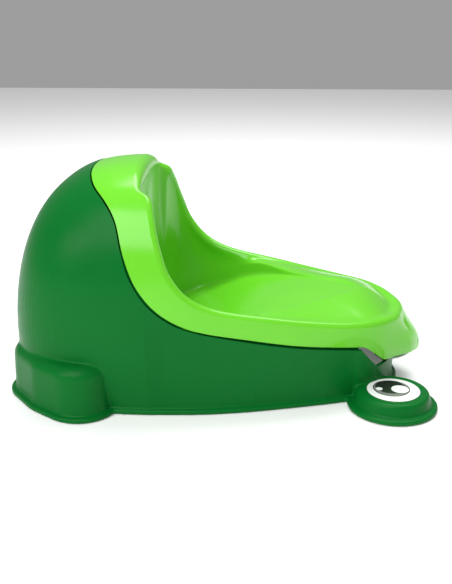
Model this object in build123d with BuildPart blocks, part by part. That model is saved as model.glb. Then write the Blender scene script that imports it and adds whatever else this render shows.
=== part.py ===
from build123d import *
import os
from math import cos, pi, sin

os.makedirs("parts", exist_ok=True)

# A frog-styled floor potty for toddlers: a dark green hollow base with a domed
# back, and a lime bowl that drops into it and lifts out to be emptied.
# +X is the front (the snout and the two eyes), +Z is up, and the floor is Z = 0.

# ---------------------------------------------------------------- overall sizes
REAR_X = -186.0            # rearmost point of the base wall
BASE_FRONT_X = 160.0       # front wall of the base
BASE_FRONT_POWER = 1.8     # roundness of the base's front end in plan
CROWN_Z = 203.0            # top of the backrest
BELLY_Z = 90.0             # height at which the dome is widest
BACK_Z = 48.0              # height above which the back leans forward
WIDE_X = -58.0             # station at which the plan is widest
BASE_WALL = 3.0            # wall thickness of the base
BOWL_WALL = 2.6            # wall thickness of the bowl

# Half widths of the base wall along its length, at the floor and at its top edge.
SIDE_X = (-20.0, 20.0, 60.0, 95.0, 118.0)
BASE_FLOOR_Y = (93.0, 87.0, 77.0, 67.0, 59.5)
BASE_EDGE_Y = (102.0, 94.0, 86.0, 75.0, 66.0)
BASE_EDGE_Z = (80.0, 67.0, 59.0, 53.0, 49.0)
FLOOR_WIDE_Y = 95.0        # half width at WIDE_X, on the floor
BELLY_Y = 106.0            # half width at WIDE_X, at the belly

# Half widths and heights of the bowl's rim along the same stations.
RIM_Y = (101.5, 94.5, 87.5, 77.5, 68.5)
RIM_Z = (107.0, 93.0, 85.5, 80.0, 77.0)
SKIRT_FLARE = 0.13         # the skirt leans out by this much for each millimetre down

# Side view of the rim, from the hand notch down to the front.
NOTCH_X = -64.0            # front edge of the backrest's top inside the hand notch
NOTCH_HALF = 61.0          # half width of the notch
RIM_PROFILE = ((-53, 179), (-47.5, 156), (-40, 133), (-30, 116.5), (-10, 101), (20, 93), (60, 85.5))
# Top of the snout: station, height at its sides and height at its middle.
SNOUT_TOP = ((40, 89, 90), (60, 85.5, 87.5), (100, 79, 86), (140, 75, 85.5), (175, 73, 80), (200, 73, 78))
# Side view of the skirt's lower edge, from the crown down to the front.
SEAM_PROFILE = ((-116, 212), (-110.5, 198), (-105, 191.5), (-90.5, 179.5), (-80, 165), (-75, 146),
                (-68.5, 125.5), (-52.5, 100.5), (-28.5, 83), (8.5, 72.5), (69, 60.5), (127, 52))
SNOUT_CORNER = (146, 33)   # lower edge of the skirt where it turns into the snout
DOME_GAP = 1.0             # gap between skirt and base edge, at the dome
FRONT_GAP = 3.6            # the same gap under the front of the skirt
UPSTAND_INSET = 3.5        # outside of the base's inner upstand, measured in from its wall
UPSTAND_THICK = 1.7
UPSTAND_RISE = 7.0
UPSTAND_ROOT = 8.0

# Basin of the bowl, in plan and in side view.
BASIN_PLAN = ((-50, 79), (-30, 90), (-5, 89), (26, 77), (50, 56), (71, 39), (98, 24), (113, 12))
BASIN_TIP_X = 119.5
BASIN_REAR_HALF = 46.0
BASIN_INSET = 9.0          # least distance between the basin and the bowl's outside
RAMP_PROFILE = ((-110, 34), (-64, 38), (-38, 47), (-5, 58.5), (20, 68), (45, 76), (71, 81.5), (98, 84.5), (125, 86.5))

# Underside, rear feet, eye pads, labels and grip pads.
FLANGE_LOW = 1.0
FLANGE_TOP = 4.6
FLANGE_OUT = 4.0
FOOT_TOP = 47.0
# Centre and radius of the round lobes whose hull is the foot, the last one buried in the wall.
FOOT_LOBES = ((-116.0, 88.0, 26.0), (-140.0, 73.0, 24.0), (-157.0, 46.0, 28.0), (-118.0, 50.0, 26.0))
EYE_X, EYE_Y = 151.5, 70.0
EYE_TOP = 15.6
EYE_LOW_RADIUS = 34.5
EYE_TOP_RADIUS = 31.0
LABEL_RADIUS = 22.2
LABEL_THICK = 0.4
GRIP_RADIUS = 8.0
GRIP_THICK = 3.0
GRIP_BOSS = 11.0
GRIP_SPOTS = {"rear": (-126.0, 86.0, FOOT_TOP), "front": (158.0, 76.0, EYE_TOP)}   # x, y, boss top
RIB_THICK = 3.0
RIB_STATIONS = {30.0: 66.5, 92.0: 78.5}    # station and height of each cross rib


def between(a, b, t):
    """The value a fraction t of the way from a to b."""
    return a + (b - a) * t


def arch(z):
    """Fraction of the dome's full reach that is left at height z, above the belly."""
    rise = max(0.0, (z - BELLY_Z) / (CROWN_Z + 0.6 - BELLY_Z))
    return (1 - rise ** 2.5) ** (1 / 2.5)


def rear_x(z):
    """Rearmost point of the dome at height z."""
    rise = max(0.0, (z - BACK_Z) / (CROWN_Z + 0.6 - BACK_Z))
    return WIDE_X + (REAR_X - WIDE_X) * min(arch(z), (1 - rise ** 2.05) ** (1 / 3.1))


def wide_y(z):
    """Half width of the dome at its widest station at height z."""
    if z < BELLY_Z:
        return between(FLOOR_WIDE_Y, BELLY_Y, sin(z / BELLY_Z * pi / 2))
    return BELLY_Y * arch(z)


def under_dome(widths, z):
    """Side half widths that never stand outside the dome above them."""
    return [min(y, wide_y(z) * 0.99 - 1.5 * i) for i, y in enumerate(widths)]


def base_sides(z):
    """Half widths of the base wall at each side station at height z."""
    rise = zip(BASE_FLOOR_Y, BASE_EDGE_Y, BASE_EDGE_Z)
    return under_dome([between(low, high, min(z / top, 1.1)) for low, high, top in rise], z)


def skirt_sides(z):
    """Half widths of the bowl skirt at each side station at height z."""
    return under_dome([rim + max(top - z, -4) * SKIRT_FLARE for rim, top in zip(RIM_Y, RIM_Z)], z)


def snout_x(z):
    """Foremost point of the snout at height z."""
    if z < 33:
        return 185.0
    if z < 74:
        return between(185.0, 163.5, ((z - 33) / 41) ** 1.4)
    return between(163.5, 140.0, min(1.0, (z - 74) / 14))


def outline(z, sides, front_x, front_power, inset):
    """Half plan of a section, from the rear centre round to the front centre."""
    rear_power = 2.75
    reach = WIDE_X - (rear_x(z) + inset)
    points = []
    for i in range(9):
        turn = i / 8 * pi / 2
        x = WIDE_X - reach * cos(turn) ** (2 / rear_power)
        points.append((x, (wide_y(z) - inset) * sin(turn) ** (2 / rear_power)))
    points += [(x, y - inset) for x, y in zip(SIDE_X, sides)]
    start_x, start_y = points[-1]
    for i in range(1, 7):
        turn = i / 6 * pi / 2
        x = start_x + (front_x - inset - start_x) * sin(turn) ** (2 / front_power)
        points.append((x, start_y * cos(turn) ** (2 / front_power)))
    points[0] = (points[0][0], 0)
    points[-1] = (points[-1][0], 0)
    return points


def envelope(levels, sides, front_x, front_power, inset):
    """The half body on the +Y side through the sections at the given heights."""
    with BuildPart() as body:
        for level in levels:
            z = max(level, 0)
            with BuildSketch(Plane.XY.offset(level)):
                with BuildLine():
                    edge = Spline(*outline(z, sides(z), front_x(z), front_power(z), inset),
                                  tangents=((0, 1), (0, -1)))
                    Line(edge @ 1, edge @ 0)
                make_face()
        loft(ruled=True)
    return body.part


def base_envelope(levels, inset):
    """Outside of the base, or the same body with its walls moved in."""
    return envelope(levels, base_sides, lambda z: BASE_FRONT_X, lambda z: BASE_FRONT_POWER, inset)


def snout_power(z):
    """Roundness of the snout in plan: pointed low down, round at the rim."""
    return between(1.45, 2.0, min(1.0, max(0.0, (z - 33) / 41)))


def bowl_envelope(levels, inset):
    """Outside of the bowl's skirt and crown, or the same body moved in."""
    return envelope(levels, skirt_sides, snout_x, snout_power, inset)


def side_block(points, closing, start_y=-1.0, end_y=150.0):
    """A body extruded across the object from a side-view curve and its closing corners."""
    with BuildPart() as block:
        with BuildSketch(Plane.XZ.offset(-end_y)):
            with BuildLine():
                Spline(*points)
                Polyline(points[-1], *closing, points[0])
            make_face()
        extrude(amount=end_y - start_y)
    return block.part


# -------------------------------------------------- cutting bodies for the seam
def seam(gap_rear, gap_front):
    """Side-view points of the seam, moved down towards the base by a growing gap."""
    low_x, high_x = SEAM_PROFILE[0][0], SEAM_PROFILE[-1][0]
    points = []
    for x, z in SEAM_PROFILE:
        gap = between(gap_rear, gap_front, (x - low_x) / (high_x - low_x))
        points.append((x - gap * 0.75, z - gap * 0.75))
    return points


corner_x, corner_z = SNOUT_CORNER
above_seam = side_block(seam(0, 0), ((corner_x, corner_z), (230, corner_z), (230, 230), (-116, 230)))
base_corner = (corner_x - FRONT_GAP * 1.8, corner_z - FRONT_GAP)
below_seam = side_block(seam(DOME_GAP, FRONT_GAP),
                        (base_corner, (230, base_corner[1]), (230, -10), (-230, -10), (-230, 230), (-118, 230)))

# ------------------------------------------------------------------ base shell
OUTER_LEVELS = (FLANGE_LOW, 45, 90, 115, 135, 152, 167, 180, 190, 197, 201, 203)
INNER_LEVELS = (-5, 45, 90, 115, 135, 152, 167, 180, 190, 197, 200)
base_outside = base_envelope(OUTER_LEVELS, 0)
base_inside = base_envelope(INNER_LEVELS, BASE_WALL)


def foot_plan(inset):
    """Plan of one rear foot: the hull of its round lobes."""
    with BuildSketch(mode=Mode.PRIVATE) as plan:
        for x, y, radius in FOOT_LOBES:
            with Locations((x, y)):
                Circle(radius - inset)
        make_hull()
    return plan.sketch


with BuildPart() as foot:
    with BuildSketch(Plane.XY.offset(FLANGE_LOW)):
        add(foot_plan(0))
    extrude(amount=FOOT_TOP - FLANGE_LOW)
    fillet(foot.edges().group_by(Axis.Z)[-1], 11)

with BuildPart() as foot_hollow:
    with BuildSketch(Plane.XY.offset(-5)):
        add(foot_plan(BASE_WALL))
    extrude(amount=FOOT_TOP - BASE_WALL + 5)
    fillet(foot_hollow.edges().group_by(Axis.Z)[-1], 8)

with BuildPart() as eye_pad:
    with Locations((EYE_X, EYE_Y, FLANGE_LOW)):
        Cone(EYE_LOW_RADIUS, EYE_TOP_RADIUS, EYE_TOP - FLANGE_LOW,
             align=(Align.CENTER, Align.CENTER, Align.MIN))
    fillet(eye_pad.edges().group_by(Axis.Z)[-1], 3)

with BuildPart() as eye_hollow:
    with Locations((EYE_X, EYE_Y, -5)):
        Cone(EYE_LOW_RADIUS - BASE_WALL + 1, EYE_TOP_RADIUS - BASE_WALL, EYE_TOP - BASE_WALL + 5,
             align=(Align.CENTER, Align.CENTER, Align.MIN))

with BuildPart() as flange:
    with BuildSketch(Plane.XY.offset(FLANGE_LOW)):
        with BuildLine():
            edge = Spline(*outline(0, base_sides(0), BASE_FRONT_X, BASE_FRONT_POWER, -FLANGE_OUT),
                          tangents=((0, 1), (0, -1)))
            Line(edge @ 1, edge @ 0)
        make_face()
        add(foot_plan(-FLANGE_OUT))
        with Locations((EYE_X, EYE_Y)):
            Circle(EYE_LOW_RADIUS + FLANGE_OUT)
    extrude(amount=FLANGE_TOP - FLANGE_LOW)

with BuildPart() as ribs:
    for x, top in RIB_STATIONS.items():
        with BuildSketch(Plane.YZ.offset(x)):
            with Locations((0, FLANGE_LOW)):
                Rectangle(120, 46, align=(Align.MIN, Align.MIN))
                Rectangle(32, top - FLANGE_LOW, align=(Align.MIN, Align.MIN))
        extrude(amount=RIB_THICK / 2, both=True)
    add(base_envelope(OUTER_LEVELS[:3], BASE_WALL / 2), mode=Mode.INTERSECT)

# A thin upstand inside the base's top edge centres the bowl's skirt and closes the gap.
def base_side(raise_by):
    """Everything on the base's side of the seam, with the seam raised."""
    front_z = base_corner[1] + raise_by
    return side_block(seam(DOME_GAP - raise_by, FRONT_GAP - raise_by),
                      ((base_corner[0] + raise_by * 0.6, front_z), (230, front_z), (230, -10), (-230, -10),
                       (-230, 230), (-118, 230)))


with BuildPart() as upstand:
    add(base_envelope(OUTER_LEVELS[:-2], UPSTAND_INSET))
    add(base_side(UPSTAND_RISE), mode=Mode.INTERSECT)

with BuildPart() as upstand_root:
    add(base_envelope(OUTER_LEVELS[:-2], BASE_WALL / 2))
    add(below_seam, mode=Mode.INTERSECT)
    add(upstand.part)
    add(base_envelope(INNER_LEVELS, UPSTAND_INSET + UPSTAND_THICK), mode=Mode.SUBTRACT)
    add(base_side(-UPSTAND_ROOT), mode=Mode.SUBTRACT)

with BuildPart() as base_half:
    add(base_outside)
    add(foot.part)
    add(eye_pad.part)
    add(below_seam, mode=Mode.INTERSECT)
    add(flange.part)
    add(base_inside, mode=Mode.SUBTRACT)
    add(upstand_root.part)
    add(foot_hollow.part, mode=Mode.SUBTRACT)
    add(eye_hollow.part, mode=Mode.SUBTRACT)
    add(ribs.part)
    for x, y, top in GRIP_SPOTS.values():
        with Locations((x, y, FLANGE_LOW)):
            Cylinder(GRIP_BOSS, top - FLANGE_LOW - 1, align=(Align.CENTER, Align.CENTER, Align.MIN))
            Cylinder(GRIP_RADIUS, GRIP_THICK - FLANGE_LOW, align=(Align.CENTER, Align.CENTER, Align.MIN),
                     mode=Mode.SUBTRACT)

with BuildPart() as base_shell:
    add(base_half.part)
    mirror(about=Plane.XZ)

# ------------------------------------------------------------------------ bowl
BOWL_LEVELS = (22, 33, 50, 62, 74, 80, 90, 115, 135, 152, 167, 180, 190, 197, 201, 203)
HOLLOW_LEVELS = (20, 33, 50, 62, 74, 80, 90, 115, 135, 152, 167, 180, 190, 197, 200)
bowl_outside = bowl_envelope(BOWL_LEVELS, 0)
bowl_inside = bowl_envelope(HOLLOW_LEVELS, BOWL_WALL)
basin_limit = bowl_envelope(HOLLOW_LEVELS[:-2], BASIN_INSET)
basin_jacket = bowl_envelope(HOLLOW_LEVELS[:-2], BASIN_INSET - BOWL_WALL)


def rim_cut(drop):
    """The space above the rim and in front of the hand notch, lowered by drop."""
    points = [(x - drop * 0.8, z - drop * 0.8) for x, z in RIM_PROFILE]
    with BuildPart() as cut:
        add(side_block(points, ((60, 260), (points[0][0], 260))))
        with BuildSketch(Plane.XZ.offset(-NOTCH_HALF)):
            with BuildLine():
                Polyline((NOTCH_X - drop, 150), (0, 150), (0, 260), (NOTCH_X - drop, 260), close=True)
            make_face()
        extrude(amount=NOTCH_HALF + 1)
    return cut.part


def snout_cut(drop):
    """The space above the crowned top of the snout, lowered by drop."""
    with BuildPart() as cut:
        for x, side_z, middle_z in SNOUT_TOP:
            with BuildSketch(Plane.YZ.offset(x)):
                with BuildLine():
                    ThreePointArc((-100, side_z - drop), (0, middle_z - drop), (100, side_z - drop))
                    Polyline((100, side_z - drop), (100, 260), (-100, 260), (-100, side_z - drop))
                make_face()
        loft(ruled=True)
    return cut.part


def basin(grow, drop):
    """Half the basin's plan, grown outward, above its sloping floor, lowered by drop."""
    with BuildPart() as space:
        with BuildSketch():
            with BuildLine():
                rear = Line((NOTCH_X - grow, 0), (NOTCH_X - grow, BASIN_REAR_HALF))
                edge = Spline(rear @ 1, *[(x + grow * 0.5, y + grow) for x, y in BASIN_PLAN],
                              (BASIN_TIP_X + grow, 0), tangents=((0, 1), (0, -1)))
                Line(edge @ 1, rear @ 0)
            make_face()
        extrude(amount=190)
        add(side_block([(x, z - drop) for x, z in RAMP_PROFILE], ((125, 260), (-110, 260))),
            mode=Mode.INTERSECT)
    return space.part


with BuildPart() as hollow:
    add(bowl_inside)
    add(rim_cut(BOWL_WALL), mode=Mode.SUBTRACT)
    add(snout_cut(BOWL_WALL), mode=Mode.SUBTRACT)

with BuildPart() as jacket:
    add(basin(BOWL_WALL, BOWL_WALL))
    add(basin_jacket, mode=Mode.INTERSECT)

with BuildPart() as basin_space:
    add(basin(0, 0))
    add(basin_limit, mode=Mode.INTERSECT)

with BuildPart() as bowl_half:
    add(bowl_outside)
    add(above_seam, mode=Mode.INTERSECT)
    add(hollow.part, mode=Mode.SUBTRACT)
    add(jacket.part)
    add(rim_cut(0), mode=Mode.SUBTRACT)
    add(snout_cut(0), mode=Mode.SUBTRACT)
    add(basin_space.part, mode=Mode.SUBTRACT)

with BuildPart() as potty_bowl:
    add(bowl_half.part)
    mirror(about=Plane.XZ)

# ------------------------------------------------------- labels and grip pads
for name, side in (("left", 1), ("right", -1)):
    with BuildPart() as label:
        with Locations((EYE_X, side * EYE_Y, EYE_TOP)):
            Cylinder(LABEL_RADIUS, LABEL_THICK, align=(Align.CENTER, Align.CENTER, Align.MIN))
    label.part.label = name + "_eye_label"
    export_step(label.part, "parts/" + name + "_eye_label.step")

for end, (x, y, top) in GRIP_SPOTS.items():
    for name, side in (("left", 1), ("right", -1)):
        with BuildPart() as grip:
            with Locations((x, side * y, 0)):
                Cylinder(GRIP_RADIUS, GRIP_THICK, align=(Align.CENTER, Align.CENTER, Align.MIN))
            fillet(grip.edges().group_by(Axis.Z)[0], 0.6)
        grip.part.label = end + "_" + name + "_grip_pad"
        export_step(grip.part, "parts/" + end + "_" + name + "_grip_pad.step")

base_shell.part.label = "base_shell"
export_step(base_shell.part, "parts/base_shell.step")
potty_bowl.part.label = "potty_bowl"
export_step(potty_bowl.part, "parts/potty_bowl.step")
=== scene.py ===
from math import cos, pi, radians, sin

import bmesh
import bpy
import numpy as np
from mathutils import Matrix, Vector


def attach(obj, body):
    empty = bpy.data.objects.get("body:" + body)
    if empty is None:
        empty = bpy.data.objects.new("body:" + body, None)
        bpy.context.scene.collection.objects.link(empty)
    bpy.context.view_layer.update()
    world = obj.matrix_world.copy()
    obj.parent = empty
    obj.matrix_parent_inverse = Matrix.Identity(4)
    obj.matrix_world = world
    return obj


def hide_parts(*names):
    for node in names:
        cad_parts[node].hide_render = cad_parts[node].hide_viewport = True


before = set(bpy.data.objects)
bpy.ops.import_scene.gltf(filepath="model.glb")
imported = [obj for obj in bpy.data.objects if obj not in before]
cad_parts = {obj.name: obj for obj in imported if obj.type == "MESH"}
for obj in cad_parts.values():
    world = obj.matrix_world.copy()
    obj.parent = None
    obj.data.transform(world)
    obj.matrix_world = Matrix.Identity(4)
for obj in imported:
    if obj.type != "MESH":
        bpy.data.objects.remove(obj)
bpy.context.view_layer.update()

# ------------------------------------------------ sizes and places, in millimetres
MM = 0.001
WIDE_X = -58.0              # station at which the plan is widest
REAR_X = -186.0             # rearmost point of the base wall
SIDE_END_X = 118.0          # where the side wall turns into the rounded front
FRONT_X = 160.0             # front of the base wall
FRONT_POWER = 1.8           # roundness of the base's front end in plan
BELLY_Z = 90.0              # height at which the dome is widest
BELLY_Y = 106.0             # its half width there
FLOOR_Y = 95.0              # half width at the same station, on the floor
BACK_Z = 48.0               # height above which the back leans forward
DOME_RISE = 113.6           # top of the dome above its belly
DOME_POWER = 2.5            # roundness of the dome seen from the front
PLAN_POWER = 2.75           # roundness of the dome seen from above
BACK_RISE_POWER = 2.05      # roundness of the back seen from the side, upwards
BACK_REACH_POWER = 3.1      # and rearwards
WALL_TOP = 203.0            # top of the base wall before the seam is cut

SEAM_REAR, SEAM_FRONT = -116, 127
SEAM = [(-116, 212), (-110.5, 198), (-105, 191.5), (-90.5, 179.5), (-80, 165), (-75, 146),
        (-68.5, 125.5), (-52.5, 100.5), (-28.5, 83), (8.5, 72.5), (69, 60.5), (127, 52)]
SEAM_POINTS = 160           # points along the cut
GAP_REAR, GAP_FRONT = 1.0, 3.9      # widths that set the gap under the skirt at the seam's two ends
GAP_SHARE = 0.75            # share of that width by which the cut moves back, and also down
LIP_X, LIP_Z = 139.5, 29.4  # corner of the cut, under the snout

# Half widths of the base wall at the floor and at its top edge, and that edge's height.
FLOOR_HALF = [(-58, 95), (-20, 93.0), (20, 87.0), (60, 77.0), (95, 67.0), (118, 59.5)]
EDGE_HALF = [(-58, 106), (-20, 102.0), (20, 94.0), (60, 86.0), (95, 75.0), (118, 66.0)]
EDGE_RISE = [(-58, 100), (-20, 80.0), (20, 67.0), (60, 59.0), (95, 53.0), (118, 49.0)]

# Height of the basin's floor along the middle.
RAMP = [(-110, 34), (-64, 38), (-38, 47), (-20, 52.6), (-5, 58.5), (20, 68), (45, 76), (71, 81.5),
        (98, 84.4), (125, 86)]

# Rows over the dome: angle round its arch, station of the rim, basin floor edge, spine station.
DOME_ROWS = [
    (0.0, -64.0, (-64, 0), -64),
    (8.0, -64.0, (-64, 14), -62.5),
    (16.0, -64.0, (-64, 27), -60),
    (23.0, -64.0, (-64, 38), -56.5),
    (28.5, -64.0, (-63.3, 47), -53.5),
    (31.6, -63.6, (-62.4, 52.5), -51.3),
    (33.4, -61.8, (-61.6, 56), -49.6),
    (35.0, -58.0, (-60.8, 59), -47.8),
    (36.8, -54.6, (-60, 61.5), -46),
    (39.0, -52.8, (-58.9, 64.2), -44.2),
    (42.0, -51.8, (-57.2, 67.4), -42.3),
    (45.5, -51.0, (-55.2, 71), -39.8),
    (50.0, -49.4, (-52.5, 75.5), -36.5),
    (55.0, -48.0, (-49, 79.7), -32),
    (60.0, -46.2, (-45, 83.2), -27.5),
    (65.0, -43.8, (-40, 86.3), -22.5),
    (69.5, -41.4, (-34.5, 88.6), -18)]
# Rows along the sides: seam, rim, rim half width, floor edge, spine station.
SIDE_ROWS = [
    ((-66.8, 121.5), (-38.5, 130.0), 103.2, (-28, 90.2), -12.5),
    ((-60.5, 111.0), (-34.2, 122.5), 103.0, (-20.5, 90.7), -7),
    ((-52.5, 100.5), (-28.3, 114.6), 102.6, (-13, 90.3), -1),
    ((-43.0, 92.0), (-20.5, 107.2), 101.7, (-5, 89.0), 5.5),
    ((-31.5, 84.6), (-10.5, 101.2), 99.8, (3, 86.8), 12),
    ((-18.5, 79.2), (1.0, 96.9), 97.2, (11.5, 83.8), 19),
    ((-4.0, 75.2), (13.0, 94.0), 95.2, (20, 79.8), 26),
    ((12.0, 71.8), (26.0, 91.6), 93.2, (28.5, 74.8), 33.5),
    ((30.0, 68.2), (40.5, 89.2), 90.8, (37.5, 68.2), 41),
    ((48.0, 64.6), (55.0, 86.7), 88.0, (46.5, 60.3), 49.5),
    ((66.0, 61.1), (70.0, 84.0), 84.6, (56, 51.6), 58.5),
    ((84.0, 58.3), (86.0, 81.4), 80.6, (66, 43.6), 68),
    ((101.0, 55.8), (101.0, 79.0), 76.2, (76.5, 36.4), 78),
    ((115.0, 53.8), (114.0, 77.4), 71.4, (86.5, 30.2), 87.5)]
# Rows round the front: seam point, rim point, floor edge, spine station.
FRONT_ROWS = [
    ((124.6, 63.6, 52.3), (124.0, 66.8, 76.4), (95.5, 25.2), 96),
    ((128.0, 61.2, 50.6), (127.4, 65.2, 76.1), (98.5, 23.2), 98.5),
    ((136.4, 54.4, 42.6), (132.5, 62.2, 75.6), (102.5, 20.6), 102.5),
    ((144.2, 47.8, 34.8), (139.0, 57.6, 75.1), (107, 17.6), 106.8),
    ((147.2, 45.0, 32.9), (142.6, 54.6, 74.8), (109.6, 15.5), 109.4),
    ((153.0, 39.6, 32.7), (147.2, 49.9, 74.4), (112.2, 13.2), 112),
    ((160.0, 33.8, 32.5), (151.8, 44.0, 74.1), (114.5, 10.9), 114.2),
    ((167.2, 28.4, 32.2), (155.8, 37.2, 73.9), (116.3, 8.7), 116),
    ((172.2, 24.4, 31.8), (158.4, 30.4, 73.8), (117.6, 6.8), 117.2),
    ((174.6, 21.0, 31.4), (160.0, 24.8, 73.8), (118.4, 5.3), 118.1),
    ((179.6, 13.4, 30.6), (162.1, 16.2, 74.0), (119.1, 3.5), 118.9),
    ((183.2, 6.4, 29.7), (163.3, 8.0, 74.3), (119.5, 1.7), 119.4),
    ((184.2, 0.0, 29.3), (163.7, 0.0, 74.4), (119.7, 0), 119.7)]
# How far the apron stands above the basin's floor where they meet, from the first side row on.
STEP = [9, 9, 9, 10, 12, 15, 17, 16, 12.6, 9.0, 6.0, 3.8, 2.5, 1.9] + [1.6] * 5 + [1.4] * 8
SKIRT_STEPS = (0, 0.06, 0.3, 0.58, 0.84, 1)     # fractions of the way from seam to rim
APRON_FIRST, APRON_ROWS = 20, 8                 # the basin's wall turns into the apron over these rows
BOWL_WALL = 2.5

BASE_WALL = 2.8
FLANGE = [(0.4, -0.2), (0.9, 0.3), (3.8, 0.3), (4.9, -0.7)]     # height, and reach past its outline
FLANGE_OUT = 4
# Round lobes of a rear foot: station, distance from the middle, radius.
FOOT = ((-116.0, 88.0, 26.0), (-140.0, 73.0, 24.0), (-157.0, 46.0, 28.0), (-118.0, 50.0, 26.0))
FOOT_SHOULDER, FOOT_ROUND, FOOT_DRAFT = 36, 11, 0.8
EYE_X, EYE_Y = 151.5, 70.0
EYE_LOW_RADIUS, EYE_TOP_RADIUS, EYE_SHOULDER, EYE_ROUND = 34.5, 31.6, 12.2, 3.4
EYE_TOP = 15.6
RIBS = ((30.0, 66.5), (92.0, 78.5))             # station and top of each cross rib
RIB_SHOULDER, RIB_TONGUE, RIB_HALF = 47, 32, 1.5
GRIP_SPOTS = ((-126.0, 86.0, 44.5), (158.0, 76.0, 13.5))        # station, offset, top of boss
BOSS_RADIUS, GRIP_RADIUS = 11, 8

# The finished bowl and base are drawn in by this much, to stay inside the CAD's box.
BOX_FIT = (0.9978, 0.9945, 0.9985)


# ------------------------------------------------------------------ small helpers
def curve(points):
    """A smooth curve through (x, y) points that never swings past them."""
    xs = np.array([p[0] for p in points], float)
    ys = np.array([p[1] for p in points], float)
    step = np.diff(xs)
    slope = np.diff(ys) / step
    tangent = np.zeros(len(xs))
    tangent[0], tangent[-1] = slope[0], slope[-1]
    for i in range(1, len(xs) - 1):
        if slope[i - 1] * slope[i] > 0:
            a, b = 2 * step[i] + step[i - 1], step[i] + 2 * step[i - 1]
            tangent[i] = (a + b) / (a / slope[i - 1] + b / slope[i])

    def value(x):
        x = min(max(float(x), xs[0]), xs[-1])
        i = min(int(np.searchsorted(xs, x, side="right")) - 1, len(xs) - 2)
        t = (x - xs[i]) / step[i]
        return float((2 * t**3 - 3 * t**2 + 1) * ys[i] + (t**3 - 2 * t**2 + t) * step[i] * tangent[i]
                     + (3 * t**2 - 2 * t**3) * ys[i + 1] + (t**3 - t**2) * step[i] * tangent[i + 1])

    return value


def mix(a, b, t):
    return a + (b - a) * t


def clamp(t):
    return min(1.0, max(0.0, t))


def unit(v):
    return v / max(np.linalg.norm(v), 1e-9)


def circle(x, y, radius, count):
    """Points round a circle."""
    turns = np.linspace(0, 2 * pi, count + 1)[:-1]
    return [(x + radius * cos(t), y + radius * sin(t)) for t in turns]


def add_object(name, mesh):
    """A new object in the scene, from a mesh."""
    piece = bpy.data.objects.new(name, mesh)
    bpy.context.scene.collection.objects.link(piece)
    return piece


def mesh_piece(name, points, faces):
    """A new object from points in millimetres."""
    mesh = bpy.data.meshes.new(name)
    mesh.from_pydata([tuple(float(c) * MM for c in p) for p in points], [], faces)
    mesh.validate()
    return add_object(name, mesh)


def apply_all(piece):
    """Applies every modifier of a piece."""
    bpy.context.view_layer.update()
    done = bpy.data.meshes.new_from_object(piece.evaluated_get(bpy.context.evaluated_depsgraph_get()))
    piece.modifiers.clear()
    old = piece.data
    piece.data = done
    bpy.data.meshes.remove(old)


def smooth_shading(piece, angle):
    for polygon in piece.data.polygons:
        polygon.use_smooth = True
    piece.data.set_sharp_from_angle(angle=radians(angle))


def join(name, pieces):
    """One object from several."""
    whole = bmesh.new()
    for piece in pieces:
        whole.from_mesh(piece.data)
        bpy.data.objects.remove(piece)
    mesh = bpy.data.meshes.new(name)
    whole.to_mesh(mesh)
    whole.free()
    return add_object(name, mesh)


def ring_body(name, rings):
    """A closed body from rings of equal length, low to high, in millimetres."""
    size = len(rings[0])
    points = [p for ring in rings for p in ring]
    faces = []
    for r in range(len(rings) - 1):
        for i in range(size):
            j = (i + 1) % size
            faces.append((r * size + i, r * size + j, (r + 1) * size + j, (r + 1) * size + i))
    faces.append(tuple(reversed(range(size))))
    faces.append(tuple((len(rings) - 1) * size + i for i in range(size)))
    body = mesh_piece(name, points, faces)
    fixed = bmesh.new()
    fixed.from_mesh(body.data)
    bmesh.ops.recalc_face_normals(fixed, faces=fixed.faces)
    bmesh.ops.triangulate(fixed, faces=fixed.faces)
    fixed.to_mesh(body.data)
    fixed.free()
    return body


# ------------------------------------------------------- the object's outer surface
seam_height = curve(SEAM)
floor_half = curve(FLOOR_HALF)
edge_half = curve(EDGE_HALF)
edge_rise = curve(EDGE_RISE)
ramp_height = curve(RAMP)


def arch(z):
    """Fraction of the dome's half width that is left at height z."""
    rise = clamp((z - BELLY_Z) / DOME_RISE)
    return (1 - rise**DOME_POWER) ** (1 / DOME_POWER)


def back_reach(z):
    """How far the dome reaches behind its widest station at height z."""
    rise = clamp((z - BACK_Z) / (BELLY_Z + DOME_RISE - BACK_Z))
    return (WIDE_X - REAR_X) * (1 - rise**BACK_RISE_POWER) ** (1 / BACK_REACH_POWER)


def widest(z):
    """Half width at the widest station at height z, below and above the belly."""
    if z < BELLY_Z:
        return mix(FLOOR_Y, BELLY_Y, sin(z / BELLY_Z * pi / 2))
    return BELLY_Y * arch(z)


def dome_half_width(x, z):
    """Half width of the dome at station x and height z."""
    behind = max(0.0, WIDE_X - x) / max(back_reach(z), 1e-6)
    return BELLY_Y * arch(z) * max(0.0, 1 - behind**PLAN_POWER) ** (1 / PLAN_POWER)


def dome_point(x, psi):
    """Point of the dome at station x, psi round its arch from the top middle."""
    behind = max(0.0, (WIDE_X - x) / (WIDE_X - REAR_X))
    back = (1 - behind**BACK_REACH_POWER) ** (1 / BACK_RISE_POWER)
    top = BACK_Z + (BELLY_Z + DOME_RISE - BACK_Z) * back
    z = BELLY_Z + (top - BELLY_Z) * cos(psi) ** (2 / DOME_POWER)
    return np.array([x, dome_half_width(x, z) if psi > 0 else 0.0, z])


def seam_station(psi):
    """Station where the dome at angle psi meets the seam."""
    low, high = float(SEAM_REAR), -62.0
    for _ in range(40):
        middle = (low + high) / 2
        if dome_point(middle, psi)[2] < seam_height(middle):
            low = middle
        else:
            high = middle
    return low


def base_half_width(x, z):
    """Half width of the base wall's side at station x and height z."""
    return mix(floor_half(x), edge_half(x), min(z / edge_rise(x), 1.15))


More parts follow.
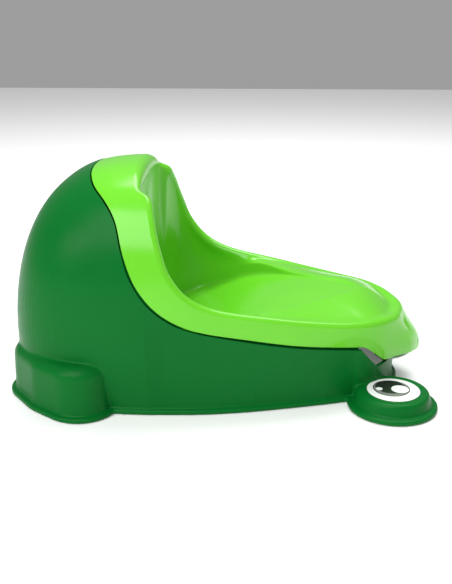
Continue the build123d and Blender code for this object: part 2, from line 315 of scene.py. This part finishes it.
# ---------------------------------------------------------------- the lime bowl
def dome_rows():
    rows = []
    for degrees, rim_x, floor, spine in DOME_ROWS:
        psi = radians(degrees)
        seam_x = seam_station(psi)
        skirt = [dome_point(mix(seam_x, rim_x, t), psi) for t in SKIRT_STEPS]
        rows.append({"skirt": skirt, "floor": floor, "spine": spine, "step": 0.0,
                     "notch": 1 - clamp((degrees - 31) / 8), "lip": 1 - clamp((degrees - 12) / 14)})
    return rows


def side_rows():
    rows = []
    for (seam_x, seam_z), (rim_x, rim_z), rim_y, floor, spine in SIDE_ROWS:
        seam_point = np.array([seam_x, base_half_width(max(seam_x, WIDE_X), seam_z) + 0.8, seam_z])
        rim_point = np.array([rim_x, rim_y + 1.8, rim_z])
        skirt = []
        for t in SKIRT_STEPS:
            p = mix(seam_point, rim_point, t)
            p[1] = min(p[1] + 1.6 * 4 * t * (1 - t), BELLY_Y * arch(p[2]) - 0.2)
            skirt.append(p)
        rows.append({"skirt": skirt, "floor": floor, "spine": spine, "notch": 0, "lip": 0})
    return rows


def front_rows():
    rows = []
    for i, (seam_point, rim_point, floor, spine) in enumerate(FRONT_ROWS):
        low, high = np.array(seam_point), np.array(rim_point)
        nose = clamp((i - 3) / 6)
        out = unit(np.array([high[0] - 90, high[1] * 0.9, 0]))
        skirt = []
        for t in SKIRT_STEPS:
            snout = sin(pi * min(1, t / 0.62)) * (t < 0.62)
            bulge = 1.4 * 4 * t * (1 - t) * (1 - nose) + nose * 5.2 * snout
            skirt.append(mix(low, high + out * 1.2 * (1 - nose), t) + out * bulge)
        rows.append({"skirt": skirt, "floor": floor, "spine": spine, "notch": 0, "lip": 0})
    return rows


def rim_directions(rows, i):
    """Unit vectors down the skirt and inwards across the rim, at row i."""
    last = len(rows) - 1
    corner = rows[i]["skirt"][-1]
    along = unit(rows[min(i + 1, last)]["skirt"][-1] - rows[max(i - 1, 0)]["skirt"][-1])
    if i in (0, last):
        along = np.array([0.0, 1.0 if i == 0 else -1.0, 0.0])
    down = unit(rows[i]["skirt"][-2] - corner)
    down = unit(down - along * down.dot(along))
    inward = np.cross(along, down)
    if inward.dot(np.array([rows[i]["spine"], 0, 60.0]) - corner) < 0:
        inward = -inward
    if i in (0, last):
        inward[1] = 0
        inward = unit(inward)
    return down, inward


def rim_roll(rows, i, apron):
    """Points over the rounded rim, from the skirt to the basin."""
    row = rows[i]
    corner = row["skirt"][-1]
    down, inward = rim_directions(rows, i)
    radius = mix(mix(4.9, 4.2, row["notch"]), 8.0, row["lip"])
    fold = mix(mix(1.0, 0.0, apron), 0.3, row["notch"])
    return [corner + down * radius,
            corner + down * radius * 0.3 + inward * radius * 0.24,
            corner + inward * radius,
            corner + inward * radius * 1.72 + down * radius * 0.3 * fold,
            corner + inward * radius * 2.1 + down * radius * fold]


def basin(row, i, start, apron):
    """Points down the basin's wall or over the apron, and along its floor to the middle."""
    floor_x, floor_y = row["floor"]
    floor_z = ramp_height(floor_x)
    spine_point = np.array([row["spine"], 0, ramp_height(row["spine"])])
    edge = np.array([floor_x, floor_y, floor_z])
    toward = spine_point - edge
    reach = np.linalg.norm(toward)
    toward = unit(toward) if reach > 0.5 else np.array([1.0 if i < 10 else -1.0, 0, 0])
    deep = edge + np.array([0, 0, 9.0]) - toward * 1.0
    shallow = edge - toward * 3.0
    shallow[2] = floor_z + row["step"]
    top = mix(deep, shallow, apron)
    wall = []
    for t in (0.28, 0.58, 0.84):
        p = mix(start, top, t)
        hollow = p - toward * (5.5 * sin(t * pi)) * min(1, abs(start[2] - top[2]) / 40)
        crowned = p.copy()
        crowned[2] = start[2] + (top[2] - start[2]) * sin(t * pi / 2) + 0.5 * sin(t * pi)
        wall.append(mix(hollow, crowned, apron))
    low = edge + toward * mix(min(5.5, reach * 0.3), 0, apron)
    low[2] = ramp_height(low[0]) + 0.2 * (1 - apron)
    fillet = [top, mix(top, edge, mix(0.75, 0.55, apron)), low]
    floor_points = []
    for t in (0.3, 0.62):
        p = mix(edge, spine_point, t)
        p[2] = ramp_height(p[0])
        floor_points.append(p)
    return wall + fillet + floor_points + [spine_point]


def bowl_profiles():
    """Rows of points from the seam, up the skirt, over the rim and down to the basin's middle."""
    rows = dome_rows() + side_rows() + front_rows()
    for row, step in zip(rows[len(DOME_ROWS):], STEP):
        row["step"] = step
    profiles = []
    for i, row in enumerate(rows):
        apron = clamp((i - APRON_FIRST) / APRON_ROWS)
        apron = apron * apron * (3 - 2 * apron)
        roll = rim_roll(rows, i, apron)
        shoulder = mix(row["skirt"][4], roll[0], 0.5)
        profiles.append(row["skirt"][:4] + [shoulder] + roll + basin(row, i, roll[-1], apron))
    return profiles


def bowl_net(profiles):
    """The control net of both halves, joined along the middle."""
    count, steps = len(profiles), len(profiles[0])
    points, faces = [], []
    for i, profile in enumerate(profiles):
        for p in profile:
            points.append((p[0], 0.0 if i in (0, count - 1) else max(p[1], 0.0), p[2]))
    half = len(points)
    points += [(x, -y, z) for x, y, z in points]
    for i in range(count - 1):
        for k in range(steps - 1):
            a = i * steps + k
            faces.append((a, a + 1, a + steps + 1, a + steps))
            faces.append((half + a + steps, half + a + steps + 1, half + a + 1, half + a))
    net = mesh_piece("bowl", points, faces)
    shape = bmesh.new()
    shape.from_mesh(net.data)
    bmesh.ops.remove_doubles(shape, verts=shape.verts, dist=0.02 * MM)
    bmesh.ops.recalc_face_normals(shape, faces=shape.faces)
    shape.to_mesh(net.data)
    shape.free()
    return net


def dimple(piece, centre, size, depth):
    """Presses a soft dimple into a piece, and its mirror image."""
    piece.data.update()
    normals = [v.normal.copy() for v in piece.data.vertices]
    for side in (1, -1):
        middle = Vector((centre[0], centre[1] * side, centre[2])) * MM
        for v, normal in zip(piece.data.vertices, normals):
            away = v.co - middle
            far = (away.x / size[0]) ** 2 + (away.y / size[1]) ** 2 + (away.z / size[2]) ** 2
            if far < 9 * MM**2:
                v.co -= normal * depth * MM * 2.718 ** (-far / MM**2)


bowl = bowl_net(bowl_profiles())
level = bowl.modifiers.new("level", "SUBSURF")
level.levels = level.render_levels = 3
apply_all(bowl)

# The skin's normals point out of the plastic, and the wall grows inwards.
face = max(bowl.data.polygons, key=lambda p: p.center.z)
if face.normal.z < 0:
    bowl.data.flip_normals()
dimple(bowl, (165.5, 20.5, 59.0), (4.0, 3.2, 6.5), 1.5)
dimple(bowl, (180.5, 11.5, 38.0), (4.0, 3.0, 4.0), 1.0)
wall = bowl.modifiers.new("wall", "SOLIDIFY")
wall.thickness, wall.offset = BOWL_WALL * MM, -1
soft = bowl.modifiers.new("soft", "BEVEL")
soft.width, soft.segments, soft.limit_method, soft.angle_limit = 0.5 * MM, 2, "ANGLE", radians(50)
apply_all(bowl)
smooth_shading(bowl, 40)
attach(bowl, "bowl")
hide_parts("potty_bowl")


# ----------------------------------------------------------------- the green base
def base_outline(z, grow=0.0):
    """Half plan of the base wall at height z, from rear middle to front middle."""
    wide = widest(z)
    reach = back_reach(z)
    outline = []
    for i in range(25):
        turn = i / 24 * pi / 2
        outline.append((WIDE_X - (reach + grow) * max(cos(turn), 0) ** (2 / PLAN_POWER),
                        (wide + grow) * sin(turn) ** (2 / PLAN_POWER)))
    for x in np.linspace(-44, SIDE_END_X, 24):
        outline.append((x, min(base_half_width(x, z), wide * 0.997) + grow))
    start_x, start_y = outline[-1]
    for i in range(1, 21):
        turn = i / 20 * pi / 2
        outline.append((start_x + (FRONT_X + grow - start_x) * sin(turn) ** (2 / FRONT_POWER),
                        start_y * max(cos(turn), 0) ** (2 / FRONT_POWER)))
    return outline


def closed(outline, z):
    """A half outline and its mirror image as one ring at height z."""
    ring = [(x, y, z) for x, y in outline]
    return ring + [(x, -y, z) for x, y in reversed(outline[1:-1])]


def hull(circles, segments=192, softness=9.0, share=0.16):
    """Softened outline of the hull round several circles."""
    def support(turn):
        sizes = np.array([x * cos(turn) + y * sin(turn) + r for x, y, r in circles])
        return sizes.max() + np.log(np.exp((sizes - sizes.max()) / softness).sum()) * softness * share

    ring = []
    for i in range(segments):
        turn = i / segments * 2 * pi
        size = support(turn)
        slope = (support(turn + 0.03) - support(turn - 0.03)) / 0.06
        ring.append((size * cos(turn) - slope * sin(turn), size * sin(turn) + slope * cos(turn)))
    return ring


def foot_ring(side, inset, z):
    return [(x, y * side, z) for x, y in hull([(x, y, r - inset) for x, y, r in FOOT])]


def pad_ring(side, radius, z):
    turns = [i / 96 * 2 * pi for i in range(96)]
    return [(EYE_X + radius * cos(t), side * (EYE_Y + radius * sin(t)), z) for t in turns]


def base_bodies():
    """Closed bodies that together fill the base: wall, feet, pads and their flanges."""
    levels = [1.0] + list(np.linspace(4, 88, 22))
    levels += list(BELLY_Z + (WALL_TOP - BELLY_Z) * np.sin(np.linspace(0, pi / 2, 40)[1:]))
    bodies = [ring_body("wall", [closed(base_outline(z), z) for z in levels]),
              ring_body("flange", [closed(base_outline(0, FLANGE_OUT + out), z) for z, out in FLANGE])]
    turns = [i / 10 * pi / 2 for i in range(11)]
    for side in (1, -1):
        foot = [foot_ring(side, z / FOOT_SHOULDER * FOOT_DRAFT, z) for z in (1.0, 12, 24, 35)]
        foot += [foot_ring(side, FOOT_DRAFT + FOOT_ROUND - FOOT_ROUND * cos(t),
                           FOOT_SHOULDER + FOOT_ROUND * sin(t)) for t in turns]
        bodies.append(ring_body("foot", foot))
        bodies.append(ring_body("foot_flange", [foot_ring(side, -FLANGE_OUT - out, z) for z, out in FLANGE]))
        pad = [pad_ring(side, EYE_LOW_RADIUS - (z - 1) * 0.25, z) for z in (1.0, 4, 8, 12)]
        pad += [pad_ring(side, EYE_TOP_RADIUS - EYE_ROUND + EYE_ROUND * cos(t),
                         EYE_SHOULDER + EYE_ROUND * sin(t)) for t in turns]
        bodies.append(ring_body("pad", pad))
        bodies.append(ring_body("pad_flange",
                                [pad_ring(side, EYE_LOW_RADIUS + FLANGE_OUT + out, z) for z, out in FLANGE]))
    return bodies


def cut_line():
    """The base's upper edge seen from the side: the seam, moved back and down by the gap."""
    line = []
    for x in np.linspace(SEAM_REAR, SEAM_FRONT, SEAM_POINTS):
        gap = mix(GAP_REAR, GAP_FRONT, (x - SEAM_REAR) / (SEAM_FRONT - SEAM_REAR)) * GAP_SHARE
        line.append((x - gap, seam_height(x) - gap))
    return line


def seam_cutter(line):
    """A wide block that takes everything above the base's upper edge."""
    outline = line + [(LIP_X, LIP_Z), (230, LIP_Z), (230, 260), (-117, 260)]
    points = [(x, y, z) for y in (-140, 140) for x, z in outline]
    size = len(outline)
    faces = [(i, (i + 1) % size, size + (i + 1) % size, size + i) for i in range(size)]
    faces += [tuple(reversed(range(size))), tuple(range(size, 2 * size))]
    block = mesh_piece("cutter", points, faces)
    fixed = bmesh.new()
    fixed.from_mesh(block.data)
    bmesh.ops.triangulate(fixed, faces=fixed.faces)
    bmesh.ops.recalc_face_normals(fixed, faces=fixed.faces)
    fixed.to_mesh(block.data)
    fixed.free()
    return block


def open_skin(piece, line):
    """Removes the faces on the cut and on the underside, leaving the skin."""
    line_x = np.array([p[0] for p in line] + [LIP_X, 260]) * MM
    line_z = np.array([p[1] for p in line] + [LIP_Z, LIP_Z]) * MM
    last = SEAM_POINTS - 1
    skin = bmesh.new()
    skin.from_mesh(piece.data)
    gone = []
    for f in skin.faces:
        c = f.calc_center_median()
        height = np.interp(c.x, line_x, line_z, left=9.0)   # nothing is cut behind the seam
        back = np.interp(c.z, line_z[last::-1], line_x[last::-1])
        on_cut = abs(c.z - height) < 0.05 * MM or (c.z > 0.06 and abs(c.x - back) < 0.05 * MM)
        if on_cut or (c.z < 1.6 * MM and f.normal.z < -0.7):
            gone.append(f)
    bmesh.ops.delete(skin, geom=gone, context="FACES")
    skin.to_mesh(piece.data)
    skin.free()


def upstand(line, rise, inset, thick):
    """An upstand inside the base wall, from below its upper edge to above it."""
    rings = []
    for x, edge_z in line:
        ring = []
        for dz, away in ((-9, inset), (rise, inset), (rise, inset + thick), (-9, inset + thick)):
            z = edge_z + dz
            side_x = max(WIDE_X, min(x, SIDE_END_X))
            y = min(base_half_width(side_x, z), widest(z))
            if x < WIDE_X:
                y = dome_half_width(x, z)
            if x > SIDE_END_X:
                past = (x - SIDE_END_X) / (FRONT_X - SIDE_END_X)
                y = y * max(0.0, 1 - past**FRONT_POWER) ** (1 / FRONT_POWER)
            ring.append((x, max(y - away, 0.5), z))
        rings.append(ring)
    pieces = []
    for side in (1, -1):
        pieces.append(ring_body("upstand", [[(x, y * side, z) for x, y, z in ring] for ring in rings]))
    return join("upstand", pieces)


def rib(x, top):
    """A cross rib with a raised tongue in its middle."""
    wide = mix(floor_half(x), edge_half(x), 0.3) - 1.5
    outline = [(-wide, 1), (wide, 1), (wide + 3, RIB_SHOULDER), (RIB_TONGUE, RIB_SHOULDER), (RIB_TONGUE, top),
               (-RIB_TONGUE, top), (-RIB_TONGUE, RIB_SHOULDER), (-wide - 3, RIB_SHOULDER)]
    return ring_body("rib", [[(x + dx, y, z) for y, z in outline] for dx in (-RIB_HALF, RIB_HALF)])


def boss(x, y, top):
    """A boss with a shallow seat for a grip pad in its underside."""
    outside = circle(x, y, BOSS_RADIUS, 48)
    seat = circle(x, y, GRIP_RADIUS, 48)
    rings = [(seat, 3.0), (seat, 1.6), (outside, 1.0), (outside, top)]
    return ring_body("boss", [[(a, b, z) for a, b in ring] for ring, z in rings])


base = join("base", base_bodies())
union = base.modifiers.new("union", "REMESH")
union.mode, union.voxel_size = "VOXEL", 1.0 * MM
calm = base.modifiers.new("calm", "SMOOTH")
calm.factor, calm.iterations = 0.5, 4
apply_all(base)

base_line = cut_line()
cutter = seam_cutter(base_line)
cut = base.modifiers.new("cut", "BOOLEAN")
cut.object, cut.operation, cut.solver = cutter, "DIFFERENCE", "MANIFOLD"
apply_all(base)
bpy.data.objects.remove(cutter)

open_skin(base, base_line)
wall = base.modifiers.new("wall", "SOLIDIFY")
wall.thickness, wall.offset = BASE_WALL * MM, -1
apply_all(base)

bits = [base, upstand([(x, z) for x, z in base_line if -76 < x < 122], 6.0, 3.4, 1.7)]
bits += [rib(x, top) for x, top in RIBS]
bits += [boss(x, side * y, top) for x, y, top in GRIP_SPOTS for side in (1, -1)]
base = join("base", bits)
smooth_shading(base, 45)
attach(base, "base")
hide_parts("base_shell")


# ------------------------------------------------------------------- materials
def material(name, colour, roughness, sockets=None):
    """A plain material, with any other shader sockets by name."""
    m = bpy.data.materials.new(name)
    m.use_nodes = True
    shader = m.node_tree.nodes["Principled BSDF"]
    shader.inputs["Base Color"].default_value = (*colour, 1)
    shader.inputs["Roughness"].default_value = roughness
    for key, value in (sockets or {}).items():
        shader.inputs[key].default_value = value
    return m


def moulded(m, colour, pale, roughness, grain_scale, grain):
    """Moulded plastic: slow colour drift, uneven gloss and a fine grain."""
    tree = m.node_tree
    shader = tree.nodes["Principled BSDF"]
    place = tree.nodes.new("ShaderNodeTexCoord")

    def noise(scale, detail):
        node = tree.nodes.new("ShaderNodeTexNoise")
        node.inputs["Scale"].default_value = scale
        node.inputs["Detail"].default_value = detail
        tree.links.new(place.outputs["Object"], node.inputs["Vector"])
        return node.outputs["Fac"]

    def ramp(source, low, high, a, b):
        node = tree.nodes.new("ShaderNodeMapRange")
        node.inputs["From Min"].default_value = low
        node.inputs["From Max"].default_value = high
        node.inputs["To Min"].default_value = a
        node.inputs["To Max"].default_value = b
        tree.links.new(source, node.inputs["Value"])
        return node.outputs["Result"]

    drift = tree.nodes.new("ShaderNodeMix")
    drift.data_type = "RGBA"
    drift.inputs["A"].default_value = (*colour, 1)
    drift.inputs["B"].default_value = (*pale, 1)
    tree.links.new(ramp(noise(9, 3), 0.35, 0.65, 0, 0.35), drift.inputs["Factor"])
    tree.links.new(drift.outputs["Result"], shader.inputs["Base Color"])
    gloss = ramp(noise(60, 5), 0.3, 0.7, roughness * 0.9, roughness * 1.12)
    tree.links.new(gloss, shader.inputs["Roughness"])
    bump = tree.nodes.new("ShaderNodeBump")
    bump.inputs["Strength"].default_value = grain
    bump.inputs["Distance"].default_value = 0.00012
    tree.links.new(noise(grain_scale, 2), bump.inputs["Height"])
    tree.links.new(bump.outputs["Normal"], shader.inputs["Normal"])


lime = material("lime_plastic", (0.13, 0.62, 0.02), 0.28, {"IOR": 1.49, "Specular IOR Level": 0.36})
moulded(lime, (0.128, 0.545, 0.018), (0.152, 0.585, 0.03), 0.22, 700, 0.10)
green = material("green_plastic", (0.004, 0.16, 0.024), 0.36, {"IOR": 1.49, "Specular IOR Level": 0.09})
moulded(green, (0.0012, 0.122, 0.016), (0.0022, 0.142, 0.021), 0.34, 1500, 0.45)
white = material("label_white", (0.86, 0.87, 0.86), 0.3)
moulded(white, (0.86, 0.87, 0.86), (0.80, 0.81, 0.80), 0.3, 900, 0.08)
black = material("label_black", (0.012, 0.014, 0.013), 0.28)
moulded(black, (0.012, 0.014, 0.013), (0.02, 0.022, 0.021), 0.28, 900, 0.08)
grey = material("label_grey", (0.2, 0.2, 0.2), 0.28)
moulded(grey, (0.18, 0.185, 0.18), (0.24, 0.245, 0.24), 0.28, 900, 0.08)
rubber = material("grip_rubber", (0.02, 0.02, 0.021), 0.75)
moulded(rubber, (0.018, 0.018, 0.019), (0.03, 0.03, 0.031), 0.75, 2200, 0.6)

bowl.data.materials.clear()
bowl.data.materials.append(lime)
base.data.materials.clear()
base.data.materials.append(green)
for end in ("rear", "front"):
    for side in ("left", "right"):
        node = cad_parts[end + "_" + side + "_grip_pad"]
        node.data.materials.clear()
        node.data.materials.append(rubber)


# ------------------------------------------------------------- the eye labels
WHITE, BLACK, GREY = 0, 1, 2
EDGE, PRINT_EDGE = 0.12, 0.04
# Layers, low to high: offset along and towards the middle, radius, low, high, edge, ink.
LABEL_LAYERS = (
    # The lowest layer is black and a little wider than the white one, so a thin dark ring shows round the
    # white disc.
    (0, 0, 22.9, EYE_TOP, 15.78, EDGE, BLACK),
    (0, 0, 22.6, EYE_TOP, 16.0, EDGE, WHITE),
    (-1.4, 2.6, 15.9, 15.9, 16.05, PRINT_EDGE, BLACK),
    (-1.4, 2.6, 15.2, 15.9, 16.08, PRINT_EDGE, GREY),
    (-1.9, 5.2, 13.0, 15.9, 16.12, PRINT_EDGE, BLACK),
    (5.9, 1.0, 8.2, 15.9, 16.14, PRINT_EDGE, BLACK),
    (5.9, 1.0, 7.6, 15.9, 16.17, PRINT_EDGE, WHITE),
    (-12.0, 1.0, 2.9, 15.9, 16.17, PRINT_EDGE, WHITE))


def layer(x, y, radius, low, high, edge, ink):
    """A thin printed disc with a softened edge."""
    rings = []
    for r, z in ((radius, low), (radius, high - edge), (radius - edge, high)):
        rings.append([(a, b, z) for a, b in circle(x, y, r, 72)])
    disc = ring_body("disc", rings)
    for polygon in disc.data.polygons:
        polygon.material_index = ink
    return disc


for name, side in (("left", 1), ("right", -1)):
    discs = [layer(EYE_X + dx, side * EYE_Y - side * dy, *rest) for dx, dy, *rest in LABEL_LAYERS]
    eye = join(name + "_eye", discs)
    for ink in (white, black, grey):
        eye.data.materials.append(ink)
    smooth_shading(eye, 30)
    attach(eye, "base")
    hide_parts(name + "_eye_label")


# ------------------------------------------------------- floor, light and camera
def softbox(name, place, aim, width, height, power):
    light = bpy.data.lights.new(name, "AREA")
    light.shape, light.size, light.size_y, light.energy = "RECTANGLE", width, height, power
    lamp = bpy.data.objects.new(name, light)
    bpy.context.scene.collection.objects.link(lamp)
    lamp.location = place
    lamp.rotation_euler = (Vector(aim) - Vector(place)).to_track_quat("-Z", "Y").to_euler()


bpy.ops.mesh.primitive_plane_add(size=6, location=(0, 0, 0))
floor_plane = bpy.context.object
floor_plane.name = "floor"
paper = material("paper", (0.9, 0.9, 0.9), 0.9, {"Emission Color": (1, 1, 1, 1), "Emission Strength": 0.14})
floor_plane.data.materials.append(paper)

world = bpy.data.worlds.new("studio")
bpy.context.scene.world = world
world.use_nodes = True
world.node_tree.nodes["Background"].inputs["Color"].default_value = (1, 1, 1, 1)
world.node_tree.nodes["Background"].inputs["Strength"].default_value = 0.34

softbox("front", (-0.55, -1.2, 1.42), (-0.06, 0, 0.12), 1.3, 1.3, 26)
softbox("left", (-0.95, -0.75, 0.62), (-0.12, 0, 0.12), 0.35, 0.35, 3.2)
softbox("overhead", (0.25, 0.6, 1.7), (0, 0, 0), 1.4, 0.8, 30)

elevation, azimuth = radians(19.0), radians(3.0)
back = Vector((sin(azimuth) * cos(elevation), -cos(azimuth) * cos(elevation), sin(elevation)))
target = Vector((3.34, 0.0, 78.29)) * MM
camera_data = bpy.data.cameras.new("camera")
camera_data.lens = 50.18
camera_data.sensor_width = 36
camera_data.clip_start = 0.01
camera = bpy.data.objects.new("camera", camera_data)
bpy.context.scene.collection.objects.link(camera)
camera.location = target + back * 0.7548
camera.rotation_euler = (-back).to_track_quat("-Z", "Y").to_euler()
bpy.context.scene.camera = camera
bpy.context.scene.view_settings.view_transform = "Standard"

for piece in (bowl, base):
    points = np.empty(len(piece.data.vertices) * 3)
    piece.data.vertices.foreach_get("co", points)
    points = points.reshape(-1, 3) * BOX_FIT
    piece.data.vertices.foreach_set("co", points.ravel())
    piece.data.update()
